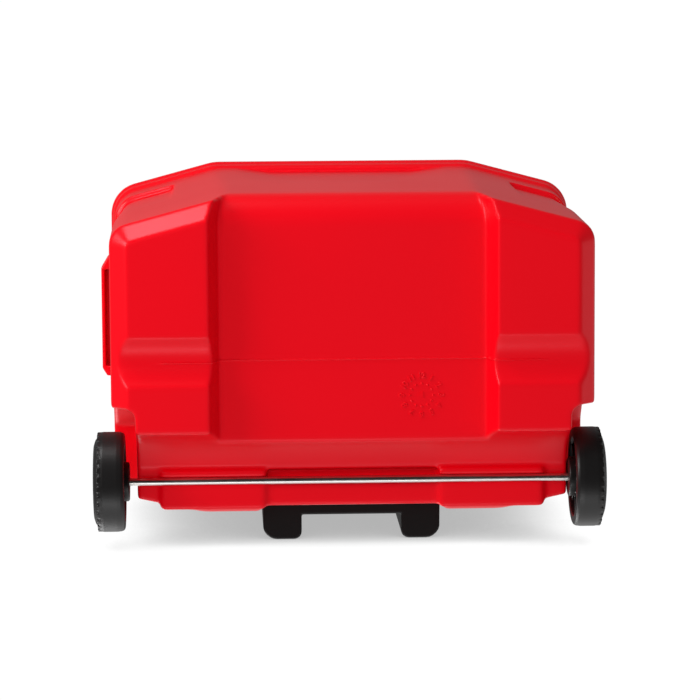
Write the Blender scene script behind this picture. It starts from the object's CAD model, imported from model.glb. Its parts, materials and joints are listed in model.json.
# A rolling hard cooler of about 57 litres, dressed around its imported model. It stands upright in its
# own frame. The camera looks up at its underside, so in the picture it lies on its back.
import json
import math

import bmesh
import bpy
from mathutils import Matrix, Vector
from mathutils.bvhtree import BVHTree


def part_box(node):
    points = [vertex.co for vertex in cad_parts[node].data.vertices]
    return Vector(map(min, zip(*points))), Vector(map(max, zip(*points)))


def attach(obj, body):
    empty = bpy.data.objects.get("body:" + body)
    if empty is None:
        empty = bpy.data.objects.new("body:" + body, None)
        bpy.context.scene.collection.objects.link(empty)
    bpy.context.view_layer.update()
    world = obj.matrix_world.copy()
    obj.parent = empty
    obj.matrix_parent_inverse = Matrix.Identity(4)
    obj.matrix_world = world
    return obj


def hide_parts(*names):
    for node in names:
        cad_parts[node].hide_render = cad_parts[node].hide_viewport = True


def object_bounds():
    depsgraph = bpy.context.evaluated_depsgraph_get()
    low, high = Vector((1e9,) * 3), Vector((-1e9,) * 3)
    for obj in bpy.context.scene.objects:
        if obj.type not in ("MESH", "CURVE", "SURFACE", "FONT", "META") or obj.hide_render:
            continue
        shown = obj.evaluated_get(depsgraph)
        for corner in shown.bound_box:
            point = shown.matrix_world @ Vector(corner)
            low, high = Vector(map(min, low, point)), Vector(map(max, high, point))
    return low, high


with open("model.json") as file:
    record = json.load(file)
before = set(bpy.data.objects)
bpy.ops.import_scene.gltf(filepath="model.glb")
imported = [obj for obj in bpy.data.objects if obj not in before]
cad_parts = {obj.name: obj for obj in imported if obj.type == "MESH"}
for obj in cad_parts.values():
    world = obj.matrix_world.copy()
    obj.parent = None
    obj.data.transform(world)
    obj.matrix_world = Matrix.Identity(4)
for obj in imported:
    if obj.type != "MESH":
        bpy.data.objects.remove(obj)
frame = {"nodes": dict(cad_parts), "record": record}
model_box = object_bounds()
low, high = model_box
slots = {entry["node"]: entry["material_slot"] for entry in frame["record"]["subparts"]}
mm = 0.001


# ---- Studio. White paper hangs behind the cooler's back and lies under its feet. Each sheet shows
# only from its front, so neither hides the cooler from behind or from below.
SHEET_SIZE = 60
SHEET_GAP = 0.5 * mm
SHADOW_REACH = 130 * mm
FAR_AWAY = 200.0


def paper_material(name):
    """White paper, dimmed only close to what lies on it, and clear when seen from behind."""
    material = bpy.data.materials.new(name)
    material.use_nodes = True
    nodes, links = material.node_tree.nodes, material.node_tree.links
    nodes.remove(nodes["Principled BSDF"])
    openness = nodes.new("ShaderNodeAmbientOcclusion")
    openness.samples = 16
    openness.inputs["Distance"].default_value = SHADOW_REACH
    shade = nodes.new("ShaderNodeMapRange")
    shade.inputs["From Min"].default_value = 0.06
    shade.inputs["From Max"].default_value = 0.52
    shade.inputs["To Min"].default_value = 0.45
    shade.inputs["To Max"].default_value = 1.02
    paper = nodes.new("ShaderNodeEmission")
    clear = nodes.new("ShaderNodeBsdfTransparent")
    side = nodes.new("ShaderNodeNewGeometry")
    mix = nodes.new("ShaderNodeMixShader")
    links.new(openness.outputs["AO"], shade.inputs["Value"])
    links.new(shade.outputs["Result"], paper.inputs["Strength"])
    links.new(side.outputs["Backfacing"], mix.inputs["Fac"])
    links.new(paper.outputs["Emission"], mix.inputs[1])
    links.new(clear.outputs["BSDF"], mix.inputs[2])
    links.new(mix.outputs["Shader"], nodes["Material Output"].inputs["Surface"])
    return material


def paper_sheet(name, turn, place, material):
    """A large square of paper that takes shadows and gives none."""
    sheet = bmesh.new()
    bmesh.ops.create_grid(sheet, x_segments=1, y_segments=1, size=SHEET_SIZE)
    bmesh.ops.transform(sheet, matrix=Matrix.Translation(place) @ turn, verts=sheet.verts)
    mesh = bpy.data.meshes.new(name)
    sheet.to_mesh(mesh)
    sheet.free()
    mesh.materials.append(material)
    obj = bpy.data.objects.new(name, mesh)
    bpy.context.scene.collection.objects.link(obj)
    obj.visible_diffuse = False
    obj.visible_glossy = False
    obj.visible_transmission = False
    obj.visible_shadow = False


white_paper = paper_material("white_paper")
behind = Vector((0, high.y + SHEET_GAP, 0))
below = Vector((0, 0, low.z - SHEET_GAP))
paper_sheet("back_sheet", Matrix.Rotation(math.radians(90), 4, "X"), behind, white_paper)
paper_sheet("ground_sheet", Matrix.Identity(4), below, white_paper)

# The camera looks up from under the cooler's front, with a long lens.
camera_data = bpy.data.cameras.new("camera")
camera_data.sensor_width = 36.0
camera_data.lens = 167.2
camera_data.clip_end = FAR_AWAY
camera = bpy.data.objects.new("camera", camera_data)
bpy.context.scene.collection.objects.link(camera)
eye = Vector((-0.1525, -0.5095, -3.8556))
aim = Vector((-0.0047, -0.0260, 0.0))
camera_roll = math.radians(-0.33)
view = (aim - eye).normalized()
right = view.cross(Vector((0, -1, 0))).normalized()
up = right.cross(view)
turn = Matrix((right, up, -view)).transposed().to_4x4()
camera.matrix_world = Matrix.Translation(eye) @ turn @ Matrix.Rotation(camera_roll, 4, "Z")
bpy.context.scene.camera = camera


def soft_box(name, place, width, height, watts, mirrored=True):
    """A diffused light that points at the cooler and isn't in the picture itself."""
    data = bpy.data.lights.new(name, "AREA")
    data.shape = "RECTANGLE"
    data.size, data.size_y = width, height
    data.energy = watts
    lamp = bpy.data.objects.new(name, data)
    bpy.context.scene.collection.objects.link(lamp)
    place = Vector(place)
    facing = (Vector((0, 0, 0.2)) - place).to_track_quat("-Z", "Y").to_matrix().to_4x4()
    lamp.matrix_world = Matrix.Translation(place) @ facing
    lamp.visible_camera = False
    lamp.visible_glossy = mirrored


soft_box("left_box", (-2.5, -1.2, -0.9), 1.2, 1.6, 50)
soft_box("under_box", (-0.9, -0.9, -2.8), 0.9, 0.9, 24, mirrored=False)
soft_box("sheen_box", (-1.05, -2.6, -0.35), 0.7, 0.7, 22)
soft_box("right_box", (2.6, 0.3, 0.9), 1.0, 1.6, 4)
soft_box("low_box", (-0.3, 2.1, -2.1), 1.4, 0.7, 9)
soft_box("front_box", (-0.3, -2.8, 0.3), 2.2, 1.4, 8, mirrored=False)
soft_box("top_box", (-0.9, -0.6, 2.6), 1.6, 1.6, 13, mirrored=False)
soft_box("rear_box", (-1.4, 2.4, 1.4), 1.6, 1.6, 30)

# The air gives soft light from all round, most from behind the back. Shiny parts mirror it as
# bright behind the back and over the lid, where white paper would be, and dim in front and below.
world = bpy.data.worlds.new("studio")
bpy.context.scene.world = world
world.use_nodes = True
nodes, links = world.node_tree.nodes, world.node_tree.links
nodes["Background"].inputs["Color"].default_value = (1, 1, 1, 1)
heading = nodes.new("ShaderNodeTexCoord")
parts = nodes.new("ShaderNodeSeparateXYZ")
links.new(heading.outputs["Generated"], parts.inputs["Vector"])


def glow_towards(axis, start, end, least, most):
    """Air that is brighter towards one side."""
    ramp = nodes.new("ShaderNodeMapRange")
    ramp.interpolation_type = "SMOOTHSTEP"
    ramp.inputs["From Min"].default_value = start
    ramp.inputs["From Max"].default_value = end
    ramp.inputs["To Min"].default_value = least
    ramp.inputs["To Max"].default_value = most
    links.new(parts.outputs[axis], ramp.inputs["Value"])
    return ramp.outputs["Result"]


mirrored_air = nodes.new("ShaderNodeMath")
links.new(glow_towards("Y", 0.25, 0.8, 0.01, 0.95), mirrored_air.inputs[0])
links.new(glow_towards("Z", 0.1, 0.9, 0.0, 0.22), mirrored_air.inputs[1])
seen = nodes.new("ShaderNodeLightPath")
air = nodes.new("ShaderNodeMix")
links.new(seen.outputs["Is Glossy Ray"], air.inputs["Factor"])
links.new(glow_towards("Y", -0.2, 1.0, 0.36, 0.8), air.inputs["A"])
links.new(mirrored_air.outputs["Value"], air.inputs["B"])
backdrop = nodes.new("ShaderNodeMix")
links.new(seen.outputs["Is Camera Ray"], backdrop.inputs["Factor"])
links.new(air.outputs["Result"], backdrop.inputs["A"])
backdrop.inputs["B"].default_value = 1.05
links.new(backdrop.outputs["Result"], nodes["Background"].inputs["Strength"])
world.cycles.sampling_method = "NONE"
bpy.context.scene.view_settings.view_transform = "Standard"


# ---- Tub shell. One blow-moulded skin of red polyethylene with feet, grooves, wheel wells, heel and
# rim in one piece. Its edges are soft, because the hot plastic only follows the mould so far.
SHELL_TOP = 455 * mm
SHELL_SKIN = 2.4 * mm
RIM_STEPS = 400 * mm
RIM_SHARE = 0.2
TUB_CELL = 1.7 * mm
TUB_ROUNDS = 26
TUB_FACES = 95000
PLUG_RADIUS = 10 * mm
PLUG_INSET = 3 * mm
PLUG_DEPTH = 13 * mm


def link(name, mesh):
    """A new object for a finished mesh."""
    obj = bpy.data.objects.new(name, mesh)
    bpy.context.scene.collection.objects.link(obj)
    return obj


def merged_form(*node_names):
    """Some of the model's solids in one form, with their loose triangles joined up."""
    form = bmesh.new()
    for node_name in node_names:
        form.from_mesh(frame["nodes"][node_name].data)
    bmesh.ops.remove_doubles(form, verts=form.verts, dist=0.002 * mm)
    return form


def made(name, form):
    """Turns a finished form into an object."""
    mesh = bpy.data.meshes.new(name)
    form.to_mesh(mesh)
    form.free()
    return link(name, mesh)


def settle(obj):
    """Applies a piece's modifiers."""
    graph = bpy.context.evaluated_depsgraph_get()
    mesh = bpy.data.meshes.new_from_object(obj.evaluated_get(graph))
    obj.modifiers.clear()
    obj.data = mesh


def recast(obj, cell):
    """Casts a piece anew as one closed skin, with cells of this size."""
    remesh = obj.modifiers.new("recast", "REMESH")
    remesh.mode = "VOXEL"
    remesh.voxel_size = cell * 1
    settle(obj)


def soften(obj, rounds, crisp=None, share=1.0):
    """Rounds every edge, but only by a share of that where crisp says so."""
    smooth = obj.modifiers.new("soften", "SMOOTH")
    smooth.iterations = rounds
    if crisp:
        group = obj.vertex_groups.new(name="soft")
        places = [crisp(vertex.co) for vertex in obj.data.vertices]
        group.add([index for index, here in enumerate(places) if here], share, "REPLACE")
        group.add([index for index, here in enumerate(places) if not here], 1.0, "REPLACE")
        smooth.vertex_group = group.name
    settle(obj)
    obj.vertex_groups.clear()


def even_out(obj):
    """Smooth shading in which the larger faces decide, so that flats stay flat."""
    obj.data.shade_smooth()
    weighted = obj.modifiers.new("normals", "WEIGHTED_NORMAL")
    weighted.mode = "FACE_AREA"
    weighted.weight = 50
    settle(obj)


def lighten(obj, faces):
    """Leaves about this many triangles, fewest where the surface is flat."""
    count = sum(len(face.vertices) - 2 for face in obj.data.polygons)
    if count > faces:
        thin = obj.modifiers.new("lighten", "DECIMATE")
        thin.ratio = faces / count
        settle(obj)
    even_out(obj)


def thicken(obj, wall):
    """Gives a skin its wall, on the inside."""
    skin = obj.modifiers.new("wall", "SOLIDIFY")
    skin.thickness = wall
    skin.offset = -1.0
    settle(obj)
    even_out(obj)


# The drain's spout is plugged before the tub is cast, so that the skin closes behind it.
form = merged_form("body_shell", "body_foam", "body_liner", "drain_spout")
spout_low, spout_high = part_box("drain_spout")
plug_middle = (spout_low + spout_high) / 2 + Vector((PLUG_INSET - PLUG_DEPTH, 0, 0)) / 2
bmesh.ops.create_cone(
    form, cap_ends=True, segments=24, radius1=PLUG_RADIUS, radius2=PLUG_RADIUS,
    depth=spout_high.x - spout_low.x - PLUG_INSET - PLUG_DEPTH,
    matrix=Matrix.Translation(plug_middle) @ Matrix.Rotation(math.radians(90), 4, "Y"),
)
tub_form = made("tub_form", form)
recast(tub_form, TUB_CELL)


def tub_half(name, outside):
    """The tub's outer skin up to the rim's top, or all the rest of its surface."""
    form = bmesh.new()
    form.from_mesh(tub_form.data)
    everything = form.verts[:] + form.edges[:] + form.faces[:]
    bmesh.ops.bisect_plane(form, geom=everything, plane_co=(0, 0, SHELL_TOP), plane_no=(0, 0, 1))
    start = min(form.verts, key=lambda vertex: vertex.co.z)
    found, waiting = {start}, [start]
    while waiting:
        for edge in waiting.pop().link_edges:
            for vertex in edge.verts:
                if vertex not in found and vertex.co.z < SHELL_TOP + 0.001 * mm:
                    found.add(vertex)
                    waiting.append(vertex)
    if outside:
        spare = [vertex for vertex in form.verts if vertex not in found]
    else:
        spare = [vertex for vertex in found if vertex.co.z < SHELL_TOP - 0.001 * mm]
    bmesh.ops.delete(form, geom=spare, context="VERTS")
    return made(name, form)


def mould_skin_group():
    """Fine grain and broad unevenness of a moulded plastic skin."""
    group = bpy.data.node_groups.new("mould_skin", "ShaderNodeTree")
    group.interface.new_socket("Grain Scale", in_out="INPUT", socket_type="NodeSocketFloat")
    group.interface.new_socket("Cloud Scale", in_out="INPUT", socket_type="NodeSocketFloat")
    group.interface.new_socket("Grain", in_out="OUTPUT", socket_type="NodeSocketFloat")
    group.interface.new_socket("Cloud", in_out="OUTPUT", socket_type="NodeSocketFloat")
    nodes, links = group.nodes, group.links
    given, result = nodes.new("NodeGroupInput"), nodes.new("NodeGroupOutput")
    place = nodes.new("ShaderNodeTexCoord")
    pits = nodes.new("ShaderNodeTexVoronoi")
    pits.feature = "SMOOTH_F1"
    grit = nodes.new("ShaderNodeTexNoise")
    grit.inputs["Detail"].default_value = 3
    cloud = nodes.new("ShaderNodeTexNoise")
    cloud.inputs["Detail"].default_value = 1
    both = nodes.new("ShaderNodeMath")
    for texture, socket in ((pits, "Grain Scale"), (grit, "Grain Scale"), (cloud, "Cloud Scale")):
        links.new(place.outputs["Object"], texture.inputs["Vector"])
        links.new(given.outputs[socket], texture.inputs["Scale"])
    links.new(pits.outputs["Distance"], both.inputs[0])
    links.new(grit.outputs["Fac"], both.inputs[1])
    links.new(both.outputs["Value"], result.inputs["Grain"])
    links.new(cloud.outputs["Fac"], result.inputs["Cloud"])
    return group


mould_skin = mould_skin_group()


def moulded_plastic(name, colour, shade, rough, shine=0.5, tint=(1, 1, 1), grain_scale=900,
                    grain=0.12):
    """Moulded plastic: two near colours, a roughness range, and the grain of its mould."""
    material = bpy.data.materials.new(name)
    material.use_nodes = True
    nodes, links = material.node_tree.nodes, material.node_tree.links
    plastic = nodes["Principled BSDF"]
    plastic.inputs["Specular IOR Level"].default_value = shine
    plastic.inputs["Specular Tint"].default_value = (*tint, 1)
    skin = nodes.new("ShaderNodeGroup")
    skin.node_tree = mould_skin
    skin.inputs["Grain Scale"].default_value = grain_scale
    skin.inputs["Cloud Scale"].default_value = 6
    tone = nodes.new("ShaderNodeMix")
    tone.data_type = "RGBA"
    tone.inputs["A"].default_value = (*colour, 1)
    tone.inputs["B"].default_value = (*shade, 1)
    links.new(skin.outputs["Cloud"], tone.inputs["Factor"])
    links.new(tone.outputs["Result"], plastic.inputs["Base Color"])
    gloss = nodes.new("ShaderNodeMath")
    gloss.operation = "MULTIPLY_ADD"
    gloss.inputs[1].default_value = rough[1] - rough[0]
    gloss.inputs[2].default_value = rough[0]
    links.new(skin.outputs["Cloud"], gloss.inputs[0])
    links.new(gloss.outputs["Value"], plastic.inputs["Roughness"])
    bump = nodes.new("ShaderNodeBump")
    bump.inputs["Strength"].default_value = grain
    bump.inputs["Distance"].default_value = 0.25 * mm
    links.new(skin.outputs["Grain"], bump.inputs["Height"])
    links.new(bump.outputs["Normal"], plastic.inputs["Normal"])
    return material


red_plastic = moulded_plastic("red_plastic", (0.84, 0.0001, 0.007), (0.78, 0.0001, 0.006), (0.29, 0.34),
                              shine=0.38, tint=(1, 0.5, 0.6), grain_scale=560, grain=0.2)


def fit(obj, material, body, slot, *replaced):
    """Gives a finished piece its material, its body and its place in the model."""
    obj.data.materials.clear()
    obj.data.materials.append(material)
    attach(obj, body)
    if replaced:
        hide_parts(*replaced)


tub_shell = tub_half("tub_shell", True)
soften(tub_shell, TUB_ROUNDS, lambda place: place.z > RIM_STEPS, RIM_SHARE)
lighten(tub_shell, TUB_FACES)
thicken(tub_shell, SHELL_SKIN)
fit(tub_shell, red_plastic, "tub", "red_shell", "body_shell")


# ---- Liner and foam. The white liner is one vacuum-formed tray whose flange lies on the rim. The
# foam behind it is poured between liner and shell and isn't seen.
LINER_SKIN = 2.0 * mm
LINER_ROUNDS = 6
LINER_FACES = 60000

white_plastic = moulded_plastic("white_plastic", (0.86, 0.86, 0.84), (0.80, 0.80, 0.79), (0.30, 0.38),
                                grain=0.05)
tub_liner = tub_half("tub_liner", False)
soften(tub_liner, LINER_ROUNDS)
lighten(tub_liner, LINER_FACES)
thicken(tub_liner, LINER_SKIN)
fit(tub_liner, white_plastic, "tub", "white_plastic", "body_liner")
bpy.data.objects.remove(tub_form)


# ---- Marks of the mould. A thin parting ridge crosses the recess from groove to groove. A plain dial
# of raised numbers, dots and a pointer stands on the recess's floor.
RIDGE_Y = -10.75 * mm
RIDGE_END = 235 * mm
RIDGE_STEPS = 300
RIDGE_FADE = 12
RIDGE_SECTION = ((-1.3, -0.3), (-0.7, 0.75), (0.0, 1.1), (0.7, 0.75), (1.3, -0.3))
DIAL_PLACE = Vector((82.8 * mm, 33.6 * mm, 0))
DIAL_NUMBERS = 12
NUMBER_SIZE = 9.5 * mm
NUMBER_RISE = 0.8 * mm
NUMBER_EDGE = 0.35 * mm
NUMBER_RING = 23.5 * mm
DOT_RING = 14 * mm
DOT_RADIUS = 1.5 * mm
BELOW_FEET = -10 * mm

skin_tree = BVHTree.FromObject(tub_shell, bpy.context.evaluated_depsgraph_get())
UPWARD = Vector((0, 0, 1))


def skin_under(x, y):
    """The underside's surface at one spot, and which way it faces."""
    return skin_tree.ray_cast(Vector((x, y, BELOW_FEET)), UPWARD)[:2]


form = bmesh.new()
rows = []
for step in range(RIDGE_STEPS + 1):
    x = RIDGE_END * (2 * step / RIDGE_STEPS - 1)
    place, normal = skin_under(x, RIDGE_Y)
    fade = min(1.0, (RIDGE_STEPS - abs(2 * step - RIDGE_STEPS)) / RIDGE_FADE)
    rows.append([
        form.verts.new(place + Vector((0, across * mm, 0)) + normal * (rise * mm * fade))
        for across, rise in RIDGE_SECTION
    ])
for row, following in zip(rows, rows[1:]):
    for k in range(len(row) - 1):
        form.faces.new((row[k], row[k + 1], following[k + 1], following[k]))
bmesh.ops.recalc_face_normals(form, faces=form.faces)
parting_ridge = made("parting_ridge", form)
parting_ridge.data.shade_smooth()
fit(parting_ridge, red_plastic, "tub", "red_shell")

dial_floor = skin_under(DIAL_PLACE.x, DIAL_PLACE.y)[0]
form = bmesh.new()
for number in range(1, DIAL_NUMBERS + 1):
    curve = bpy.data.curves.new("number", "FONT")
    curve.body = str(number)
    curve.size = NUMBER_SIZE
    curve.align_x, curve.align_y = "CENTER", "CENTER"
    curve.extrude = NUMBER_RISE
    curve.bevel_depth = NUMBER_EDGE
    curve.bevel_resolution = 1
    figure = link("figure", curve)
    graph = bpy.context.evaluated_depsgraph_get()
    flat = bpy.data.meshes.new_from_object(figure.evaluated_get(graph))
    hour = Matrix.Rotation(-math.tau * number / DIAL_NUMBERS, 4, "Z")
    spoke = Matrix.Rotation(math.pi, 4, "X") @ hour
    flat.transform(spoke @ Matrix.Translation((0, NUMBER_RING, 0)))
    form.from_mesh(flat)
    bpy.data.objects.remove(figure)
    bpy.data.curves.remove(curve)
    bpy.data.meshes.remove(flat)
    bmesh.ops.create_icosphere(form, subdivisions=2, radius=DOT_RADIUS,
                               matrix=spoke @ Matrix.Translation((0, DOT_RING, 0)))
# A small three-sided pointer stands in the middle.
bmesh.ops.create_cone(
    form, cap_ends=True, segments=3, radius1=4.5 * mm, radius2=3.8 * mm, depth=2.2 * mm,
    matrix=Matrix.Rotation(math.pi / 2, 4, "Z"),
)
bmesh.ops.translate(form, verts=form.verts, vec=dial_floor)
bmesh.ops.recalc_face_normals(form, faces=form.faces)
number_dial = made("number_dial", form)
fit(number_dial, red_plastic, "tub", "red_shell")


# ---- Side hand-holds. Two red ledges under the rim, thick enough to lift the full tub by.
def cast(node_name, cell, rounds, faces):
    """One moulded piece, with all of its edges a little round."""
    piece = made(node_name + "_skin", merged_form(node_name))
    recast(piece, cell)
    soften(piece, rounds)
    lighten(piece, faces)
    return piece


for node_name in ("side_handle_left", "side_handle_right"):
    fit(cast(node_name, 0.8 * mm, 14, 16000), red_plastic, "tub", "red_shell", node_name)


# ---- Lid. A white top shell over foam, with a flat inner panel that drops inside the rim. Four
# round cup places are pressed into its corners.
LID_SPLIT = 459.5 * mm
LID_CELL = 1.5 * mm
LID_ROUNDS = 5
LID_TOP_FACES = 70000
LID_PANEL_FACES = 20000

lid_form = made("lid_form", merged_form("lid_shell", "lid_foam", "lid_liner"))
recast(lid_form, LID_CELL)
soften(lid_form, LID_ROUNDS)


def lid_half(name, top, faces):
    """The lid's cast form above or below its seam, closed again at the cut."""
    form = bmesh.new()
    form.from_mesh(lid_form.data)
    everything = form.verts[:] + form.edges[:] + form.faces[:]
    cut = bmesh.ops.bisect_plane(
        form, geom=everything, plane_co=(0, 0, LID_SPLIT), plane_no=(0, 0, 1),
        clear_inner=top, clear_outer=not top,
    )
    rim_edges = [part for part in cut["geom_cut"] if isinstance(part, bmesh.types.BMEdge)]
    bmesh.ops.holes_fill(form, edges=rim_edges, sides=0)
    half = made(name, form)
    lighten(half, faces)
    return half


lid_top = lid_half("lid_top", True, LID_TOP_FACES)
lid_panel = lid_half("lid_panel", False, LID_PANEL_FACES)
fit(lid_top, white_plastic, "lid", "white_plastic", "lid_shell")
fit(lid_panel, white_plastic, "lid", "white_plastic", "lid_liner")
bpy.data.objects.remove(lid_form)


# ---- Axle. One drawn steel rod lies in saddles under the heel, with a washer and a push nut at each
# end. Metal parts keep crisp edges with a fine bevel.
AXLE_STOUTNESS = 1.2
AXLE_REARWARD = 0.6 * mm
ALONG_X, ALONG_Z, FLAT = (12, 2400, 2400), (2400, 2400, 12), (900, 900, 900)


def drawn_metal_group():
    """Fine lines along the way a metal part was drawn, and the dullness of handling."""
    group = bpy.data.node_groups.new("drawn_metal", "ShaderNodeTree")
    group.interface.new_socket("Stretch", in_out="INPUT", socket_type="NodeSocketVector")
    group.interface.new_socket("Lines", in_out="OUTPUT", socket_type="NodeSocketFloat")
    group.interface.new_socket("Dullness", in_out="OUTPUT", socket_type="NodeSocketFloat")
    nodes, links = group.nodes, group.links
    given, result = nodes.new("NodeGroupInput"), nodes.new("NodeGroupOutput")
    place = nodes.new("ShaderNodeTexCoord")
    drawn = nodes.new("ShaderNodeVectorMath")
    drawn.operation = "MULTIPLY"
    lines = nodes.new("ShaderNodeTexNoise")
    lines.inputs["Scale"].default_value = 1.0
    lines.inputs["Detail"].default_value = 3
    dull = nodes.new("ShaderNodeTexNoise")
    dull.inputs["Scale"].default_value = 28
    dull.inputs["Detail"].default_value = 4
    links.new(place.outputs["Object"], drawn.inputs[0])
    links.new(given.outputs["Stretch"], drawn.inputs[1])
    links.new(drawn.outputs["Vector"], lines.inputs["Vector"])
    links.new(place.outputs["Object"], dull.inputs["Vector"])
    links.new(lines.outputs["Fac"], result.inputs["Lines"])
    links.new(dull.outputs["Fac"], result.inputs["Dullness"])
    return group


drawn_metal = drawn_metal_group()


def metal(name, colour, stretch, rough):
    """Bare metal with fine lines along one direction."""
    material = bpy.data.materials.new(name)
    material.use_nodes = True
    nodes, links = material.node_tree.nodes, material.node_tree.links
    surface = nodes["Principled BSDF"]
    surface.inputs["Metallic"].default_value = 1.0
    lines = nodes.new("ShaderNodeGroup")
    lines.node_tree = drawn_metal
    lines.inputs["Stretch"].default_value = stretch
    tone = nodes.new("ShaderNodeMix")
    tone.data_type = "RGBA"
    tone.inputs["A"].default_value = (*(0.86 * part for part in colour), 1)
    tone.inputs["B"].default_value = (*colour, 1)
    links.new(lines.outputs["Dullness"], tone.inputs["Factor"])
    links.new(tone.outputs["Result"], surface.inputs["Base Color"])
    gloss = nodes.new("ShaderNodeMapRange")
    gloss.inputs["From Min"].default_value = 0.3
    gloss.inputs["From Max"].default_value = 0.7
    gloss.inputs["To Min"].default_value = rough[0]
    gloss.inputs["To Max"].default_value = rough[1]
    links.new(lines.outputs["Dullness"], gloss.inputs["Value"])
    links.new(gloss.outputs["Result"], surface.inputs["Roughness"])
    bump = nodes.new("ShaderNodeBump")
    bump.inputs["Strength"].default_value = 0.15
    bump.inputs["Distance"].default_value = 0.05 * mm
    links.new(lines.outputs["Lines"], bump.inputs["Height"])
    links.new(bump.outputs["Normal"], surface.inputs["Normal"])
    return material


axle_steel = metal("axle_steel", (0.74, 0.72, 0.70), ALONG_X, (0.29, 0.36))
plain_steel = metal("plain_steel", (0.66, 0.65, 0.63), FLAT, (0.30, 0.42))


def edged(node_name, width):
    """One crisp piece, with a fine bevel on its sharp edges only."""
    form = merged_form(node_name)
    bmesh.ops.dissolve_limit(form, angle_limit=math.radians(0.5), verts=form.verts, edges=form.edges)
    piece = made(node_name + "_skin", form)
    bevel = piece.modifiers.new("edges", "BEVEL")
    bevel.width = width
    bevel.segments = 2
    bevel.limit_method = "ANGLE"
    bevel.angle_limit = math.radians(32)
    settle(piece)
    even_out(piece)
    return piece


def fit_edged(body, material, bevels):
    """Crisp pieces of one body and one material, each with its own bevel in millimetres."""
    for node_name, width in bevels.items():
        fit(edged(node_name, width * mm), material, body, slots[node_name], node_name)


axle = edged("axle", 0.25 * mm)
axle_low, axle_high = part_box("axle")
axle_line = (axle_low + axle_high) / 2
stouter = Matrix.Diagonal((1, AXLE_STOUTNESS, AXLE_STOUTNESS, 1))
moved = axle_line + Vector((0, AXLE_REARWARD, 0))
axle.data.transform(Matrix.Translation(moved) @ stouter @ Matrix.Translation(-axle_line))
fit(axle, axle_steel, "tub", "steel", "axle")
fit_edged("tub", plain_steel, {"axle_washers": 0.2, "axle_push_nuts": 0.2})


# ---- Hinges and screws. Two white hinges join the lid to the ledge behind it. Each has a leaf on the
# tub, a leaf on the lid and a steel pin. The handle's screws are made with theirs.
fit_edged("tub", plain_steel, {"hinge_pins": 0.3, "hinge_body_screws": 0.2})
fit_edged("lid", plain_steel, {"hinge_lid_screws": 0.2})
fit_edged("tub", plain_steel, {"housing_screws": 0.2})
fit_edged("handle_inner", plain_steel, {"grip_screws": 0.2})
fit_edged("tub", white_plastic, {"hinge_body_leaves": 0.4})
fit_edged("lid", white_plastic, {"hinge_lid_leaves": 0.4})


# ---- Drain. A white spout goes through the tub's right wall, with a nut inside and a rubber gasket
# outside. A black cap screws onto it against a rubber seal.
black_plastic = moulded_plastic("black_plastic", (0.009, 0.007, 0.007), (0.006, 0.005, 0.005),
                                (0.38, 0.5), shine=0.25)
rubber = moulded_plastic("rubber", (0.022, 0.022, 0.021), (0.015, 0.015, 0.015), (0.70, 0.85),
                         shine=0.3)
fit_edged("tub", white_plastic, {"drain_spout": 0.3, "drain_nut": 0.4})
fit_edged("tub", rubber, {"drain_gasket": 0.3})
fit_edged("drain_seal", rubber, {"drain_seal": 0.2})
fit(cast("drain_cap", 0.35 * mm, 2, 16000), black_plastic, "drain_cap", "black_plastic", "drain_cap")


# ---- Wheels. Wide black wheels, smooth on the tread, with short blocks on the outer shoulder and
# ribs inside the hub. A domed cap hides each axle end.
SHOULDER_BLOCKS = 32
BLOCK_SIZE = Vector((6.6, 6.4, 3.6)) * mm
BLOCK_INSET = 8.2 * mm
BLOCK_SUNK = 2.2 * mm
WHEEL_CELL = 0.75 * mm
WHEEL_FACES = 60000

wheel_black = moulded_plastic("wheel_black", (0.010, 0.009, 0.009), (0.007, 0.006, 0.006), (0.34, 0.44),
                              shine=0.45, grain=0.08)

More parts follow.
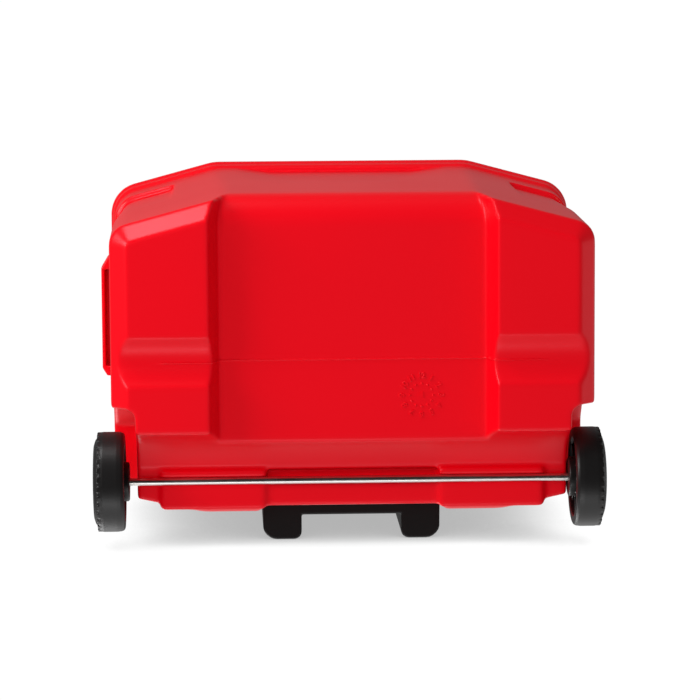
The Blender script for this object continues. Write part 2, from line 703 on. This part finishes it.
for side, name in ((-1, "left"), (1, "right")):
    node_name = "wheel_" + name
    form = merged_form(node_name)
    wheel_low, wheel_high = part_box(node_name)
    outer = wheel_high.x if side > 0 else wheel_low.x
    reach = (wheel_high.z - wheel_low.z) / 2
    hub = Matrix.Translation((0, (wheel_low.y + wheel_high.y) / 2, (wheel_low.z + wheel_high.z) / 2))
    block = Matrix.Diagonal((*BLOCK_SIZE, 1))
    seat = Matrix.Translation((outer - side * BLOCK_INSET, 0, reach - BLOCK_SUNK))
    for k in range(SHOULDER_BLOCKS):
        spoke = Matrix.Rotation(math.tau * k / SHOULDER_BLOCKS, 4, "X")
        bmesh.ops.create_cube(form, size=1, matrix=hub @ spoke @ seat @ block)
    wheel = made(node_name + "_skin", form)
    recast(wheel, WHEEL_CELL)
    soften(wheel, 2)
    lighten(wheel, WHEEL_FACES)
    fit(wheel, wheel_black, node_name, "wheel_plastic", node_name)
    cap_name = "hub_cap_" + name
    fit(cast(cap_name, 0.5 * mm, 3, 12000), black_plastic, node_name, slots[cap_name], cap_name)


# ---- Pull handle. A black housing on the back guides two nested pairs of aluminium tubes, and a
# moulded grip with a release button joins them at the top.
aluminium = metal("aluminium", (0.78, 0.79, 0.80), ALONG_Z, (0.30, 0.40))


def fit_cast(node_name, body, cell, rounds, faces):
    """One moulded black piece of the handle on its body."""
    piece = cast(node_name, cell * mm, rounds, faces)
    fit(piece, black_plastic, body, slots[node_name], node_name)


fit_cast("handle_housing", "tub", 1.0, 3, 60000)
for side in ("_left", "_right"):
    fit_cast("guide_collar" + side, "tub", 0.5, 2, 12000)
    fit_cast("middle_collar" + side, "handle_stage", 0.5, 2, 12000)
    fit_cast("foot_plug" + side, "handle_inner", 0.5, 2, 12000)
    fit_edged("handle_stage", aluminium, {"middle_tube" + side: 0.3})
    fit_edged("handle_inner", aluminium, {"inner_tube" + side: 0.3})
    fit_edged("release", plain_steel, {"push_rod" + side: 0.3})
    fit_edged("lock_pin" + side, plain_steel, {"lock_pin" + side: 0.2})
fit_cast("grip_front", "handle_inner", 0.7, 3, 40000)
fit_cast("grip_back", "handle_inner", 0.7, 3, 40000)
fit_cast("release_button", "release", 0.5, 3, 12000)
fit_edged("release", plain_steel, {"release_bar": 0.3})


# ---- Foam and springs. What is sealed inside keeps its own shape and only gets its material.
foam_yellow = moulded_plastic("foam_yellow", (0.78, 0.66, 0.38), (0.70, 0.57, 0.30), (0.85, 0.95),
                              grain=0.6)
inside = {"body_foam": foam_yellow, "lid_foam": foam_yellow, "button_springs": plain_steel}
for node_name, material in inside.items():
    hidden = frame["nodes"][node_name].data
    hidden.materials.clear()
    hidden.materials.append(material)
